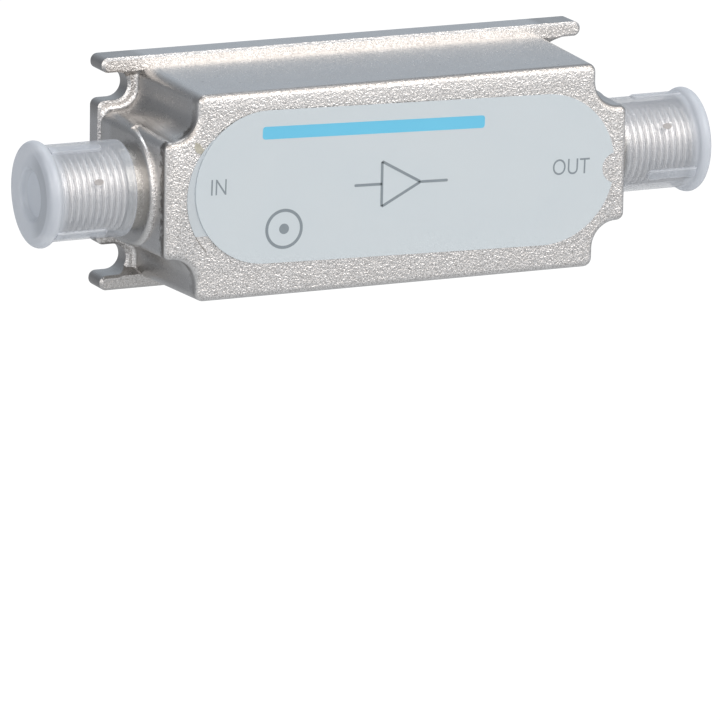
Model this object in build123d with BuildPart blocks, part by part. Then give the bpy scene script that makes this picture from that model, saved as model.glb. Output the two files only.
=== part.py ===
from build123d import *
from math import cos, hypot, radians, sin, tan
import os

# In-line aerial signal amplifier, in millimetres.
# The origin is the centre of the back face, which lies on the wall. +Y points into the wall,
# +Z is up and +X points from the input port to the output port.

# Casting
case_depth = 18.5
face_height = 23.6
shoulder_width = 57.2
port_wall_width = 59.4
screw_head_room = 3.3
scoop_radius = 3.0
corner_radius = 1.0
shoulder_corner_radius = 0.85
edge_radius = 0.75
draft_angle = 2.0
front_wall = 1.9

# Flange and its open screw slots
flange_length = 59.8
flange_height = 26.8
flange_thickness = 3.5
flange_chamfer = 0.3
seat_thickness = 2.5
seat_half_height = 11.1
seat_slant = 35.0
seat_chamfer = 0.3
root_radius = 0.6
screw_spacing_x = 55.9
screw_spacing_z = 20.0
slot_width = 3.4
slot_tip_radius = 0.8

# Ports: 3/8-32 threads, modelled at their crest
axis_depth = 9.6
boss_setback = 2.2
boss_edge_radius = 0.6
thread_radius = 4.72
barrel_reach = 40.4
barrel_chamfer = 0.45
barrel_chamfer_angle = 45.0
port_bore_radius = 3.6
port_inner_bore_radius = 2.3
port_seat = 28.6

# Cavity behind the front wall, and the step that the rear cover sits in
cavity_length = 46.4
cavity_height = 20.6
pocket_length = 53.2
pocket_height = 10.4
cavity_corner_radius = 1.0
cover_ledge = 1.2
cover_thickness = 0.8
cover_recess = 0.1
cover_clearance = 0.05
cover_chamfer = 0.25
cover_dimple_radius = 1.6
cover_dimple_depth = 0.25
cover_dimple_spacing = 30.0

# Absorber pad on the inside of the cover
pad_length = 32.0
pad_height = 15.0
pad_thickness = 1.2
pad_corner_radius = 1.5

# Circuit board, its supports and screws
board_length = 45.6
board_height = 19.8
board_thickness = 1.0
board_corner_radius = 0.8
support_size = 2.6
post_radius = 2.3
screw_hole_radius = 0.8
screw_clearance_radius = 1.1
screw_head_radius = 1.9
screw_head_height = 1.2
screw_head_chamfer = 0.4
screw_length = 5.0
screw_drive_length = 1.8
screw_drive_width = 0.45
screw_drive_depth = 0.6
board_screw_x = 12.5
board_screw_z = 7.0

# Centre contacts and their insulators
insulator_fit = 0.02
insulator_recess = 1.5
insulator_mouth_radius = 0.75
insulator_mouth_depth = 0.6
insulator_nose = 1.2
contact_radius = 0.9
contact_bore_radius = 0.5
contact_bore_share = 0.55
contact_setback = 0.7
contact_fit = 0.05
tail_width = 0.8
tail_thickness = 0.5
tail_end = 20.4
solder_radius = 1.0
solder_height = 0.7
solder_taper = 25.0

# Parts on the board
chip_length = 4.5
chip_width = 2.5
chip_height = 1.5
package_chamfer = 0.3
chip_x = 8.5
chip_z = 1.2
lead_length = 0.9
lead_width = 0.45
lead_thickness = 0.3
lead_pitch = 1.5
choke_radius = 2.7
choke_height = 4.2
choke_flange = 0.8
choke_core_radius = 1.1
choke_winding_gap = 0.25
choke_x = 18.0
choke_z = 6.4
small_cap_length = 2.0
small_cap_width = 1.25
small_cap_height = 1.1
resistor_height = 0.5
terminal_share = 0.2
terminal_proud = 0.04
can_radius = 2.5
can_height = 5.4
can_base_height = 0.7
can_base_chamfer = 0.9
can_x = 6.2
can_z = 6.4
can_chamfer = 0.4
regulator_length = 6.5
regulator_width = 3.5
regulator_height = 1.6
regulator_pitch = 2.25
regulator_x = 6.0
regulator_z = 6.2
diode_length = 4.3
diode_width = 2.6
diode_height = 2.1
diode_terminal_height = 0.8
diode_x = 18.5
diode_z = 6.6
coil_outer_radius = 1.55
coil_inner_radius = 1.05
coil_length = 3.2
coil_z = 5.6

# Dust caps
cap_fit = 0.08
cap_radius = 5.45
cap_wall_gap = 0.7
cap_end_gap = 0.1
cap_end_wall = 0.7
cap_lip_radius = 6.05
cap_lip_length = 1.9
cap_lip_edge_radius = 0.55
cap_lip_chamfer = 0.4
cap_dimple_radius = 2.9
cap_dimple_depth = 1.1
cap_dimple_wall = 0.5
cap_mouth_chamfer = 0.3
rib_count = 3
rib_width = 1.3
rib_height = 0.22
rib_length_share = 0.7
rib_turns = {"input": 72.0, "output": -30.0}
full_turn = 360.0

# Labels: stadiums stuck on with a slight turn, one over the older one
label_length = 52.0
label_height = 17.5
label_thickness = 0.15
label_x = 0.95
label_z = 0.45
label_turn = -1.33
label_bite_radius = 1.8
label_bite_x = 27.25
label_bite_z = -0.35
backing_thickness = 0.1
backing_end = 18.0
backing_tear_top = 4.2

# One overrun for every cut that passes through a face
overrun = 1.0

face_width = screw_spacing_x - 2 * screw_head_room
shoulder_height = screw_spacing_z - 2 * screw_head_room
boss_radius = case_depth - axis_depth - boss_setback
slope = tan(radians(draft_angle))
board_rear = axis_depth + tail_thickness / 2
board_front = board_rear + board_thickness
cavity_floor = case_depth - front_wall
ledge_depth = cover_recess + cover_thickness
port_face = port_wall_width / 2 - axis_depth * slope
cap_open_end = port_wall_width / 2 + cap_wall_gap
insulator_front = barrel_reach - insulator_recess
tail_start = port_seat - insulator_nose
ENDS = {"input": -1, "output": 1}


def face_plane(depth):
    """The plane at this depth in front of the wall, seen from the front: x right, y up."""
    return Plane(origin=(0, -depth, 0), x_dir=(1, 0, 0), z_dir=(0, -1, 0))


def board_plane(depth):
    """The plane at this depth seen with its normal towards the wall: x left, y up."""
    return Plane(origin=(0, -depth, 0), x_dir=(-1, 0, 0), z_dir=(0, 1, 0))


def port_plane(side, reach=0):
    """The plane across a port axis, with its normal pointing out of the port."""
    return Plane(origin=(side * reach, -axis_depth, 0), x_dir=(0, side, 0), z_dir=(side, 0, 0))


def four_corners(x, y):
    return [(sx * x, sy * y) for sx in (-1, 1) for sy in (-1, 1)]


def slot_distance(point):
    """Distance from a point to the nearest screw's axis."""
    return hypot(abs(point.X) - screw_spacing_x / 2, abs(point.Z) - screw_spacing_z / 2)


def casting_outline(width, depth):
    """Front view of the casting at a depth: a block with two port shoulders, scooped corners."""
    growth = (case_depth - depth) * slope
    Rectangle(face_width + 2 * growth, face_height + 2 * growth)
    Rectangle(width, shoulder_height + 2 * growth)
    fillet(vertices().sort_by_distance((0, 0))[8:], shoulder_corner_radius + growth)
    fillet(vertices().sort_by_distance((0, 0))[4:8], corner_radius + growth)
    fillet(vertices().sort_by_distance((0, 0))[:4], scoop_radius - growth)


def cavity_outline(margin):
    """The cavity, grown by a margin all round for the cover and its step."""
    Rectangle(cavity_length + 2 * margin, cavity_height + 2 * margin)
    Rectangle(pocket_length + 2 * margin, pocket_height + 2 * margin)
    fillet(vertices(), cavity_corner_radius)


# Half-round bosses under the ports, in front of the parting plane only: part of the housing
with BuildPart() as port_bosses:
    with BuildSketch(face_plane(axis_depth)) as boss_profile:
        Rectangle(2 * port_face, boss_radius, align=(Align.CENTER, Align.MIN))
        fillet(boss_profile.vertices().group_by(Axis.Y)[-1], boss_edge_radius)
    revolve(axis=Axis((0, -axis_depth, 0), (1, 0, 0)), revolution_arc=180)

# Housing: the flange first, lower where the screw heads sit, then the two drafted halves that
# meet at the parting plane
with BuildPart() as housing:
    with BuildSketch(face_plane(0)) as flange:
        Rectangle(flange_length, flange_height)
        for side in ENDS.values():
            for level in (-1, 1):
                with Locations((side * screw_spacing_x / 2, level * screw_spacing_z / 2)):
                    Circle(slot_width / 2, mode=Mode.SUBTRACT)
                    Rectangle(
                        2 * (flange_length - screw_spacing_x),
                        slot_width,
                        align=(Align.MIN if side > 0 else Align.MAX, Align.CENTER),
                        mode=Mode.SUBTRACT,
                    )
        ends = flange.vertices().group_by(Axis.X)
        fillet(ends[0] + ends[-1], slot_tip_radius)
    extrude(amount=flange_thickness)
    chamfer(faces().sort_by(Axis.Y)[0].edges(), flange_chamfer)
    with BuildSketch(face_plane(seat_thickness)):
        Rectangle(flange_length + 2 * overrun, 2 * seat_half_height)
    extrude(amount=flange_thickness, taper=-seat_slant, mode=Mode.SUBTRACT)
    seat_rims = [
        edge
        for face in faces().filter_by(Axis.Y)
        for edge in face.edges()
        if abs(face.center().Y + seat_thickness) < seat_chamfer / 2
        and abs((edge @ 0.5).Z) < seat_half_height - seat_chamfer / 2
    ]
    chamfer(seat_rims, seat_chamfer)

    with BuildSketch(face_plane(axis_depth)):
        casting_outline(shoulder_width + 2 * (case_depth - axis_depth) * slope, axis_depth)
    extrude(amount=case_depth - axis_depth, taper=draft_angle)
    with BuildSketch(face_plane(0)):
        casting_outline(port_wall_width, 0)
    extrude(amount=axis_depth, taper=draft_angle)
    seat_roots = [
        edge
        for edge in edges().filter_by_position(
            Axis.Y, -seat_thickness - seat_chamfer / 2, -seat_thickness + seat_chamfer / 2
        )
        if abs((edge @ 0.5).X) < port_wall_width / 2 - seat_chamfer
        and abs((edge @ 0.5).Z) < seat_half_height
        and edge.bounding_box().size.Y < seat_chamfer / 2
        and slot_distance(edge @ 0.5) > slot_width / 2 + 2 * seat_chamfer
    ]
    fillet(seat_roots, root_radius)
    fillet(faces().sort_by(Axis.Y)[0].edges(), edge_radius)

    add(port_bosses.part)

    # Port barrels
    for side in ENDS.values():
        with BuildSketch(port_plane(side, port_seat)):
            Circle(thread_radius)
        extrude(amount=barrel_reach - barrel_chamfer - port_seat)
        with BuildSketch(port_plane(side, barrel_reach - barrel_chamfer)):
            Circle(thread_radius)
        extrude(amount=barrel_chamfer, taper=barrel_chamfer_angle)

    # Cavity, cover step and port bores
    with BuildSketch(face_plane(0)):
        cavity_outline(0)
    extrude(amount=cavity_floor, mode=Mode.SUBTRACT)
    with BuildSketch(face_plane(0)):
        cavity_outline(cover_ledge)
    extrude(amount=ledge_depth, mode=Mode.SUBTRACT)
    for side in ENDS.values():
        with BuildSketch(port_plane(side, port_seat)):
            Circle(port_bore_radius)
        extrude(amount=barrel_reach - port_seat + overrun, mode=Mode.SUBTRACT)
        with BuildSketch(port_plane(side, port_seat)):
            Circle(port_inner_bore_radius)
        extrude(amount=-(port_seat - pocket_length / 2 + overrun), mode=Mode.SUBTRACT)

    # Corner supports and two screw posts that carry the board
    with BuildSketch(face_plane(board_front)):
        with Locations(
            *four_corners((board_length - support_size) / 2, (board_height - support_size) / 2)
        ):
            Rectangle(support_size, support_size)
        with Locations((-board_screw_x, -board_screw_z), (board_screw_x, board_screw_z)):
            Circle(post_radius)
            Circle(screw_hole_radius, mode=Mode.SUBTRACT)
    extrude(amount=cavity_floor - board_front + overrun / 2)
housing.part.label = "housing"

# Rear cover, pressed into its step
with BuildPart() as rear_cover:
    with BuildSketch(face_plane(cover_recess)):
        cavity_outline(cover_ledge - cover_clearance)
    extrude(amount=cover_thickness)
    chamfer(faces().sort_by(Axis.Y)[-1].edges(), cover_chamfer)
    with BuildSketch(board_plane(cover_recess)):
        with Locations((-cover_dimple_spacing / 2, 0), (cover_dimple_spacing / 2, 0)):
            Circle(cover_dimple_radius)
    extrude(amount=-cover_dimple_depth, mode=Mode.SUBTRACT)
rear_cover.part.label = "rear_cover"

with BuildPart() as absorber_pad:
    with BuildSketch(face_plane(ledge_depth)):
        RectangleRounded(pad_length, pad_height, pad_corner_radius)
    extrude(amount=pad_thickness)
absorber_pad.part.label = "absorber_pad"

# Circuit board
with BuildPart() as circuit_board:
    with BuildSketch(face_plane(board_rear)):
        RectangleRounded(board_length, board_height, board_corner_radius)
        with Locations((-board_screw_x, -board_screw_z), (board_screw_x, board_screw_z)):
            Circle(screw_clearance_radius, mode=Mode.SUBTRACT)
    extrude(amount=board_thickness)
circuit_board.part.label = "circuit_board"

# Two pan-head screws through the board
with BuildPart() as board_screws:
    with BuildSketch(board_plane(board_rear)):
        with Locations((board_screw_x, -board_screw_z), (-board_screw_x, board_screw_z)):
            Circle(screw_head_radius)
    extrude(amount=screw_head_height)
    chamfer(faces().group_by(Axis.Y)[-1].edges(), screw_head_chamfer)
    with BuildSketch(board_plane(board_rear)):
        with Locations((board_screw_x, -board_screw_z), (-board_screw_x, board_screw_z)):
            Circle(screw_hole_radius)
    extrude(amount=-screw_length)
    with BuildSketch(board_plane(board_rear - screw_head_height + screw_drive_depth)):
        with Locations((board_screw_x, -board_screw_z), (-board_screw_x, board_screw_z)):
            Rectangle(screw_drive_length, screw_drive_width)
            Rectangle(screw_drive_width, screw_drive_length)
    extrude(amount=screw_drive_depth, mode=Mode.SUBTRACT)
board_screws.part.label = "board_screws"


def make_insulator(side):
    """A stepped plastic bush, pressed in from the front, with a funnel for the cable's wire."""
    with BuildPart() as insulator:
        with BuildSketch(port_plane(side, port_seat)):
            Circle(port_bore_radius - insulator_fit)
        extrude(amount=insulator_front - port_seat)
        with BuildSketch(port_plane(side, port_seat)):
            Circle(port_inner_bore_radius - insulator_fit)
        extrude(amount=-insulator_nose)
        with BuildSketch(port_plane(side, tail_start)):
            Circle(contact_radius + contact_fit)
        extrude(amount=insulator_front - contact_setback - tail_start, mode=Mode.SUBTRACT)
        with BuildSketch(port_plane(side, insulator_front)):
            Circle(contact_bore_radius)
        extrude(amount=-2 * contact_setback, mode=Mode.SUBTRACT)
        with BuildSketch(port_plane(side, insulator_front)):
            Circle(insulator_mouth_radius)
        extrude(amount=-insulator_mouth_depth, taper=solder_taper, mode=Mode.SUBTRACT)
    return insulator.part


def make_contact(side):
    """A round socket for the centre wire, with a flat tail that lies on the board."""
    with BuildPart() as contact:
        with BuildSketch(port_plane(side, tail_start)):
            Circle(contact_radius)
        extrude(amount=insulator_front - contact_setback - contact_fit - tail_start)
        with BuildSketch(port_plane(side, insulator_front - contact_setback - contact_fit)):
            Circle(contact_bore_radius)
        extrude(
            amount=-contact_bore_share * (insulator_front - contact_setback - tail_start),
            mode=Mode.SUBTRACT,
        )
        with BuildSketch(port_plane(side, tail_end)):
            Rectangle(tail_thickness, tail_width)
        extrude(amount=tail_start - tail_end + contact_radius)
    return contact.part


insulators = {name: make_insulator(side) for name, side in ENDS.items()}
contacts = {name: make_contact(side) for name, side in ENDS.items()}

# Solder cones over the two contact tails
with BuildPart() as contact_solder:
    tail_middle = (tail_end + board_length / 2) / 2
    with BuildSketch(board_plane(board_rear)):
        with Locations((-tail_middle, 0), (tail_middle, 0)):
            Circle(solder_radius)
    extrude(amount=solder_height, taper=solder_taper)
    with BuildSketch(board_plane(board_rear)):
        Rectangle(2 * tail_middle + 2 * solder_radius, tail_width)
    extrude(amount=tail_thickness, mode=Mode.SUBTRACT)
contact_solder.part.label = "contact_solder"


def make_chip(x, z):
    """A flat power chip with a wide earth tab on one side and three leads on the other."""
    with BuildPart() as chip:
        with BuildSketch(board_plane(board_rear)):
            with Locations((x, z)):
                Rectangle(chip_length, chip_width)
        extrude(amount=chip_height)
        chamfer(faces().sort_by(Axis.Y)[-1].edges(), package_chamfer)
        with BuildSketch(board_plane(board_rear)):
            for step in (-1, 0, 1):
                with Locations((x + step * lead_pitch, z - chip_width / 2 - lead_length / 2)):
                    Rectangle(lead_width, lead_length)
            with Locations((x, z + chip_width / 2 + lead_length / 2)):
                Rectangle(2 * lead_pitch, lead_length)
        extrude(amount=lead_thickness)
    return chip.part


def make_choke_core(x, z):
    """A ferrite drum: two round flanges on a core."""
    with BuildPart() as core:
        with BuildSketch(board_plane(board_rear)):
            with Locations((x, z)):
                Circle(choke_radius)
        extrude(amount=choke_flange)
        with BuildSketch(board_plane(board_rear)):
            with Locations((x, z)):
                Circle(choke_core_radius)
        extrude(amount=choke_height)
        with BuildSketch(board_plane(board_rear - choke_height + choke_flange)):
            with Locations((x, z)):
                Circle(choke_radius)
        extrude(amount=choke_flange)
    return core.part


def make_choke_winding(x, z):
    """The wire between the drum's flanges, as one band."""
    with BuildPart() as winding:
        with BuildSketch(board_plane(board_rear - choke_flange)):
            with Locations((x, z)):
                Circle(choke_radius - choke_winding_gap)
                Circle(choke_core_radius, mode=Mode.SUBTRACT)
        extrude(amount=choke_height - 2 * choke_flange)
    return winding.part


def make_small_parts(places, height):
    """A group of two-terminal chip parts, each a body with a proud terminal at both ends."""
    with BuildPart() as group:
        with BuildSketch(board_plane(board_rear)):
            with Locations(*places):
                Rectangle(small_cap_length, small_cap_width)
        extrude(amount=height - terminal_proud)
        with BuildSketch(board_plane(board_rear)):
            for x, z in places:
                for end in (-1, 1):
                    with Locations((x + end * small_cap_length * (1 - terminal_share) / 2, z)):
                        Rectangle(
                            small_cap_length * terminal_share,
                            small_cap_width + 2 * terminal_proud,
                        )
        extrude(amount=height)
    return group.part


half = board_length / 2
tall = board_height / 2
coupling_shares = [(0.7, 0.0), (0.12, 0.0), (-0.12, 0.0), (-0.7, 0.0)]
bypass_shares = [(0.02, 0.3), (-0.22, 0.62), (-0.55, -0.45), (0.6, -0.4), (-0.02, -0.45)]
resistor_shares = [
    (-0.06, -0.8),
    (0.1, -0.8),
    (0.25, -0.4),
    (-0.48, -0.3),
    (-0.7, 0.25),
    (0.7, -0.22),
]


def board_places(shares):
    return [(x * half, z * tall) for x, z in shares]


pieces = {
    "coupling_capacitors": make_small_parts(board_places(coupling_shares), small_cap_height),
    "bypass_capacitors": make_small_parts(board_places(bypass_shares), small_cap_height),
    "bias_resistors": make_small_parts(board_places(resistor_shares), resistor_height),
    "first_stage_chip": make_chip(chip_x, chip_z),
    "second_stage_chip": make_chip(-chip_x, chip_z),
    "input_choke_core": make_choke_core(choke_x, -choke_z),
    "input_choke_winding": make_choke_winding(choke_x, -choke_z),
    "output_choke_core": make_choke_core(-choke_x, -choke_z),
    "output_choke_winding": make_choke_winding(-choke_x, -choke_z),
}

# Round reservoir capacitor on its square base
with BuildPart() as supply_capacitor:
    with BuildSketch(board_plane(board_rear)):
        with Locations((can_x, can_z)):
            Rectangle(2 * can_radius, 2 * can_radius)
        chamfer(vertices().group_by(Axis.X)[-1], can_base_chamfer)
    extrude(amount=can_base_height)
    with BuildSketch(board_plane(board_rear)):
        with Locations((can_x, can_z)):
            Circle(can_radius)
    extrude(amount=can_height)
    chamfer(faces().sort_by(Axis.Y)[-1].edges(), can_chamfer)
supply_capacitor.part.label = "supply_capacitor"

# Voltage regulator with its tab and three legs
with BuildPart() as voltage_regulator:
    with BuildSketch(board_plane(board_rear)):
        with Locations((-regulator_x, -regulator_z)):
            Rectangle(regulator_length, regulator_width)
    extrude(amount=regulator_height)
    chamfer(faces().sort_by(Axis.Y)[-1].edges(), package_chamfer)
    with BuildSketch(board_plane(board_rear)):
        for step in (-1, 0, 1):
            with Locations(
                (
                    -regulator_x + step * regulator_pitch,
                    -regulator_z + (regulator_width + lead_length) / 2,
                )
            ):
                Rectangle(lead_width, lead_length)
        with Locations((-regulator_x, -regulator_z - (regulator_width + lead_length) / 2)):
            Rectangle(2 * lead_pitch, lead_length)
    extrude(amount=lead_thickness)
voltage_regulator.part.label = "voltage_regulator"

# Clamp diode
with BuildPart() as clamp_diode:
    with BuildSketch(board_plane(board_rear)):
        with Locations((-diode_x, diode_z)):
            Rectangle(diode_length, diode_width)
    extrude(amount=diode_height)
    chamfer(faces().sort_by(Axis.Y)[-1].edges(), package_chamfer)
    with BuildSketch(board_plane(board_rear)):
        with Locations((-diode_x, diode_z)):
            Rectangle(diode_length + 2 * lead_thickness, diode_width / 2)
    extrude(amount=diode_terminal_height)
clamp_diode.part.label = "clamp_diode"

# Air-wound coil of the slope network as a plain hollow band, lying on the board
with BuildPart() as slope_coil:
    with BuildSketch(
        Plane(
            origin=(-coil_length / 2, -board_rear + coil_outer_radius, coil_z),
            x_dir=(0, 1, 0),
            z_dir=(1, 0, 0),
        )
    ):
        Circle(coil_outer_radius)
        Circle(coil_inner_radius, mode=Mode.SUBTRACT)
    extrude(amount=coil_length)
slope_coil.part.label = "slope_coil"


def make_cap(name, side):
    """A closed sleeve with a rolled lip, a dimpled end and raised ribs."""
    lip_start = barrel_reach + cap_end_gap + cap_end_wall - cap_lip_length
    cap_end = barrel_reach + cap_end_gap + cap_end_wall
    inner_end = barrel_reach + cap_end_gap
    bore = thread_radius + cap_fit
    with BuildPart() as cap:
        with BuildSketch(port_plane(side, cap_open_end)):
            Circle(cap_radius)
        extrude(amount=cap_end - cap_open_end)
        with BuildSketch(port_plane(side, lip_start)):
            Circle(cap_lip_radius)
        extrude(amount=cap_lip_length)
        rims = edges().filter_by(GeomType.CIRCLE).sort_by(lambda edge: side * edge.center().X)
        rims = [edge for edge in rims if abs(edge.radius - cap_lip_radius) < rib_height]
        fillet(rims[-1], cap_lip_edge_radius)
        chamfer(rims[0], cap_lip_chamfer)
        rib_length = rib_length_share * (cap_end - cap_open_end)
        rib_start = cap_end - cap_lip_edge_radius - rib_length
        for turn in range(rib_count):
            angle = radians(rib_turns[name] + full_turn * turn / rib_count)
            outward = Vector(0, -cos(angle), sin(angle))
            foot = Vector(side * rib_start, -axis_depth, 0) + outward * (cap_radius - rib_height)
            with BuildSketch(Plane(origin=foot, x_dir=(side, 0, 0), z_dir=outward)):
                SlotOverall(rib_length, rib_width, align=(Align.MIN, Align.CENTER))
            extrude(amount=2 * rib_height)
        with BuildSketch(port_plane(side, cap_open_end - overrun)):
            Circle(bore)
        extrude(amount=inner_end - cap_open_end + overrun, mode=Mode.SUBTRACT)
        with BuildSketch(port_plane(side, cap_end)):
            Circle(cap_dimple_radius + cap_dimple_wall)
        extrude(amount=-(cap_dimple_depth + cap_dimple_wall))
        with BuildSketch(port_plane(side, cap_end)):
            Circle(cap_dimple_radius)
        extrude(amount=-cap_dimple_depth, mode=Mode.SUBTRACT)
        mouth = [
            edge
            for edge in edges().filter_by(GeomType.CIRCLE)
            if abs(abs((edge @ 0).X) - cap_open_end) < cap_fit and abs(edge.radius - bore) < cap_fit
        ]
        chamfer(mouth, cap_mouth_chamfer)
    return cap.part


caps = {name: make_cap(name, side) for name, side in ENDS.items()}

# Older label, then the printed label over it
with BuildPart() as label_backing:
    with BuildSketch(face_plane(case_depth)):
        SlotOverall(label_length, label_height)
        with Locations((backing_end, 0)):
            Rectangle(
                label_length,
                2 * label_height,
                align=(Align.MIN, Align.CENTER),
                mode=Mode.SUBTRACT,
            )
        with Locations((0, -backing_tear_top)):
            Rectangle(
                label_length,
                label_height,
                align=(Align.CENTER, Align.MAX),
                mode=Mode.SUBTRACT,
            )
    extrude(amount=backing_thickness)
label_backing.part.label = "label_backing"

with BuildPart() as label:
    with BuildSketch(face_plane(case_depth + backing_thickness)):
        with Locations(Location((label_x, label_z), label_turn)):
            SlotOverall(label_length, label_height)
        with Locations((label_bite_x, label_bite_z)):
            Circle(label_bite_radius, mode=Mode.SUBTRACT)
    extrude(amount=label_thickness)
label.part.label = "label"

for name in ENDS:
    pieces[name + "_insulator"] = insulators[name]
    pieces[name + "_contact"] = contacts[name]
    pieces[name + "_cap"] = caps[name]
for builder in (
    housing,
    rear_cover,
    absorber_pad,
    circuit_board,
    board_screws,
    contact_solder,
    supply_capacitor,
    voltage_regulator,
    clamp_diode,
    slope_coil,
    label_backing,
    label,
):
    pieces[builder.part.label] = builder.part

os.makedirs("parts", exist_ok=True)
for name, piece in pieces.items():
    piece.label = name
    export_step(piece, "parts/" + name + ".step")
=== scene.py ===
import math
from contextlib import contextmanager

import bmesh
import bpy
from bpy.props import FloatProperty, FloatVectorProperty, IntProperty, PointerProperty
from mathutils import Matrix, Vector


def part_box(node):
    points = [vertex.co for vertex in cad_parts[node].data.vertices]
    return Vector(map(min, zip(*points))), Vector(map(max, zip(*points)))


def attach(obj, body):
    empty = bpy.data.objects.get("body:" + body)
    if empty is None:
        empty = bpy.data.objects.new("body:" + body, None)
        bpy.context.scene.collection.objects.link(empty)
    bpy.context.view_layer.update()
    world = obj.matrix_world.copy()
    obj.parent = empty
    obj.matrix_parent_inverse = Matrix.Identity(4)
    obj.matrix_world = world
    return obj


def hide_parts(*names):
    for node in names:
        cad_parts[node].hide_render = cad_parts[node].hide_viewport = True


bl_info = {
    "name": "Line amplifier",
    "version": (1, 0, 0),
    "blender": (4, 5, 0),
    "location": "View3D > Sidebar > Amplifier",
    "description": "Dresses an in-line aerial signal amplifier and sets its stage",
    "category": "Object",
}

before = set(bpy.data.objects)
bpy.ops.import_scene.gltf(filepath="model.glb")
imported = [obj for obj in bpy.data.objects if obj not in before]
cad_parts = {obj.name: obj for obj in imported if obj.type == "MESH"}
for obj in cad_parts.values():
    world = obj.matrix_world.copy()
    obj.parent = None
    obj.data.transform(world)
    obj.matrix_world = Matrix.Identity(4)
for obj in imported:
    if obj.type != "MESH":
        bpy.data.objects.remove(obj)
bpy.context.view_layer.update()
MM = 0.001
BODY = "amplifier"
ENDS = {"input": -1, "output": 1}
CAP_BODY = {"input": "input_dust_cap", "output": "output_dust_cap"}
AXIS_Y = -9.6 * MM
# Corners nearer to each other than this are one corner
MERGE = 1e-7


# Sizes and colours a user may change

def colour_setting(name, description, *rgb):
    return FloatVectorProperty(name=name, description=description, subtype="COLOR", size=4,
                               default=(*rgb, 1.0))


def length_setting(name, description, millimetres, precision=5, **limits):
    return FloatProperty(name=name, description=description, default=millimetres * MM, unit="LENGTH",
                         precision=precision, **limits)


def angle_setting(name, description, degrees):
    return FloatProperty(name=name, description=description, default=math.radians(degrees),
                         subtype="ANGLE")


def opacity_setting(name, description, share):
    return FloatProperty(name=name, description=description, default=share, min=0.0, max=1.0,
                         subtype="FACTOR")


class CastingSettings(bpy.types.PropertyGroup):
    metal: colour_setting("Metal", "Colour of the plated casting", 0.69, 0.68, 0.67)
    front: colour_setting("Front", "Colour of the grainy front", 0.83, 0.81, 0.80)
    shade: colour_setting("Hollow", "Colour in the pits of the grain", 0.41, 0.395, 0.385)
    grain: length_setting("Grain", "Size of the casting's grain", 0.30, min=0.05 * MM)
    relief: length_setting("Relief", "Depth of the grain", 0.05, min=0.0)
    neck_end: length_setting("Neck end", "Where the plain neck ends and the thread starts", 31.2)


class ThreadSettings(bpy.types.PropertyGroup):
    pitch: length_setting("Pitch", "Thread pitch", 25.4 / 32)
    crest: length_setting("Crest radius", "Outer radius of the thread", 4.72)
    root: length_setting("Root radius", "Radius at the foot of the thread", 4.33)
    crest_flat: length_setting("Crest flat", "Width of the flat on the crest", 0.13)
    flank: angle_setting("Flank", "Slope of each side of the thread", 30.0)
    end: length_setting("End", "Where the port ends", 40.4)
    chamfer: length_setting("Chamfer", "Chamfer at the port's end", 0.45)
    steps: IntProperty(name="Steps", description="Divisions round one turn", default=72, min=12)


class CapSettings(bpy.types.PropertyGroup):
    plastic: colour_setting("Plastic", "Colour of the milky plastic", 0.65, 0.69, 0.755)
    body_alpha: opacity_setting("Wall opacity", "How much one wall of the sleeve hides", 0.40)
    end_alpha: opacity_setting("End opacity", "How much the thick lip and end hide", 0.82)
    bore: length_setting("Bore radius", "Inner radius", 4.80)
    outside: length_setting("Body radius", "Outer radius of the sleeve", 5.45)
    lip: length_setting("Lip radius", "Outer radius of the lip", 6.05)
    mouth: length_setting("Mouth", "Where the open end stands", 30.4)
    end: length_setting("End", "Where the closed end stands", 41.2)
    rib_height: length_setting("Rib height", "How far a rib stands out", 0.22)
    rib_width: length_setting("Rib width", "Width of a rib", 1.3)
    rib_length: length_setting("Rib length", "Length of a rib up to the lip", 6.2)
    divisions: IntProperty(name="Divisions", description="Divisions round the cap", default=96, min=24)


class LabelSettings(bpy.types.PropertyGroup):
    film: colour_setting("Film", "Colour of the label", 0.63, 0.69, 0.73)
    stripe: colour_setting("Stripe", "Colour of the stripe", 0.155, 0.58, 0.83)
    ink: colour_setting("Ink", "Colour of the legends", 0.25, 0.29, 0.32)
    turn: angle_setting("Turn", "How far the label is turned", -1.33)
    ink_thickness: length_setting("Ink thickness", "How far the print stands out", 0.012, precision=6)
    letter_height: length_setting("Letter height", "Height of the capital letters", 1.85)
    stroke: length_setting("Stroke", "Width of the symbol's strokes", 0.32)


class StageSettings(bpy.types.PropertyGroup):
    floor_level: length_setting("Floor level", "Height of the floor", -100.0)
    azimuth: angle_setting("Azimuth", "Direction of view", 25.083)
    elevation: angle_setting("Elevation", "Height of view", 13.991)
    roll: angle_setting("Roll", "Tilt of the picture", 0.983)
    camera_place: FloatVectorProperty(name="Camera place", description="Where the camera stands",
                                      size=3, subtype="TRANSLATION", unit="LENGTH",
                                      default=(-0.412475, -0.890266, 0.219672))
    lens: FloatProperty(name="Lens", description="Focal length in millimetres", default=439.8)


# Node helpers

def feed(node, values):
    """Gives a node its values: one that is a socket is linked, any other is set."""
    for key, value in values.items():
        if isinstance(value, bpy.types.NodeSocket):
            node.id_data.links.new(value, node.inputs[key])
        else:
            node.inputs[key].default_value = value


def add(tree, kind, values=None, **settings):
    node = tree.nodes.new(kind)
    for key, value in settings.items():
        setattr(node, key, value)
    feed(node, values or {})
    return node


def calculate(tree, operation, first, *others):
    """Math nodes for an operation on one value, or on several in a row."""
    if not others:
        return add(tree, "ShaderNodeMath", {0: first}, operation=operation).outputs[0]
    for other in others:
        first = add(tree, "ShaderNodeMath", {0: first, 1: other}, operation=operation).outputs[0]
    return first


def times(tree, first, *others):
    return calculate(tree, "MULTIPLY", first, *others) if others else first


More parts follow.
